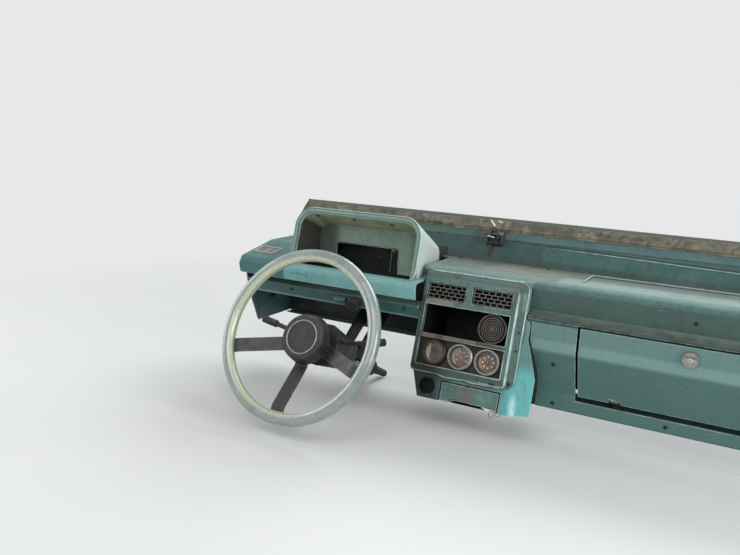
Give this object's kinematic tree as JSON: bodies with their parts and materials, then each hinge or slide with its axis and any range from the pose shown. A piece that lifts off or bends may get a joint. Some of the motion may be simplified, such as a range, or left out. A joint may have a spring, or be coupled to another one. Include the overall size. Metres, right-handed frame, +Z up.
{
  "type": "jeepney dashboard with steering wheel",
  "caption": "Vehicle dashboard on its scuttle panel, with a hooded instrument bay, a centre stack of vents, slot and gauges, a glove box lid, a drawer and a turning steering wheel.",
  "frame": {"origin": "middle of the four bulkhead bolts, on the bulkhead's front face", "axes": "+X to the right across the cab, +Y forward through the bulkhead, +Z up"},
  "size_m": [1.3, 0.5258, 0.4233],
  "materials": {
    "scuttle": "satin, dusty dark teal paint on pressed steel",
    "sealant": "matt weathered sealing strip",
    "steel": "satin black paint, worn at edges",
    "teal_moulding": "hand-painted teal, scuffed pale at the edges",
    "black_plastic": "dusty black plastic",
    "vent_grey": "worn grey plastic with pale edges",
    "grille_grey": "dark grey plastic",
    "ring_metal": "dull silver",
    "dial": null,
    "glass": "clear, scratched",
    "rim_sleeve": "glossy silver-teal sleeve, scuffed"
  },
  "bodies": {
    "dash": {"air_box": "black_plastic", "ash_sleeve": "black_plastic", "cluster_panel": "teal_moulding", "column_hanger": "steel", "column_shroud_lower": "black_plastic", "column_shroud_upper": "black_plastic", "column_strap": "steel", "column_tube": "black_plastic", "cross_tube": "steel", "dash_top": "teal_moulding", "driver_ledge": "teal_moulding", "end_plate_left": "scuttle", "end_plate_right": "scuttle", "gauge_case_1": "ring_metal", "gauge_case_2": "ring_metal", "gauge_case_3": "ring_metal", "gauge_dial_1": "dial", "gauge_dial_2": "dial", "gauge_dial_3": "dial", "gauge_lens_1": "glass", "gauge_lens_2": "glass", "gauge_lens_3": "glass", "gauge_plate": "black_plastic", "glove_bin": "black_plastic", "glove_frame": "teal_moulding", "glove_hinge_left": "steel", "glove_hinge_right": "steel", "ignition_lock": "ring_metal", "instrument_hood": "teal_moulding", "knee_panel": "teal_moulding", "left_top": "teal_moulding", "panel_knob": "black_plastic", "right_fascia": "teal_moulding", "round_grille": "grille_grey", "screen_catch": "black_plastic", "screen_seal": "sealant", "scuttle_panel": "scuttle", "side_vent": "vent_grey", "slot_box": "black_plastic", "socket_cap": "black_plastic", "stack_bezel": "teal_moulding", "stack_housing": "teal_moulding", "stalk_left": "black_plastic", "stalk_right": "black_plastic", "vent_grille_left": "vent_grey", "vent_grille_right": "vent_grey"},
    "steering": {"wheel_frame": "black_plastic", "rim_cover": "rim_sleeve", "wheel_pad": "black_plastic", "steering_shaft": "steel"},
    "glove_lid_body": {"glove_lid": "teal_moulding", "glove_latch": "ring_metal"},
    "ash_drawer_body": {"ash_drawer": "teal_moulding"}
  },
  "joints": [
    {"name": "steering_turn", "type": "hinge", "parent": "dash", "child": "steering", "pos_m": [-0.371, -0.368, -0.035], "axis": [0, -0.8957, 0.4446], "continuous": true},
    {"name": "glove_lid_hinge", "type": "hinge", "parent": "dash", "child": "glove_lid_body", "pos_m": [0.3307, -0.134, -0.118], "axis": [1, 0, 0], "range_deg": [0, 70]},
    {"name": "ash_drawer_slide", "type": "slide", "parent": "dash", "child": "ash_drawer_body", "axis": [0, -0.9563, 0.2924], "range_m": [0, 0.055]}
  ]
}
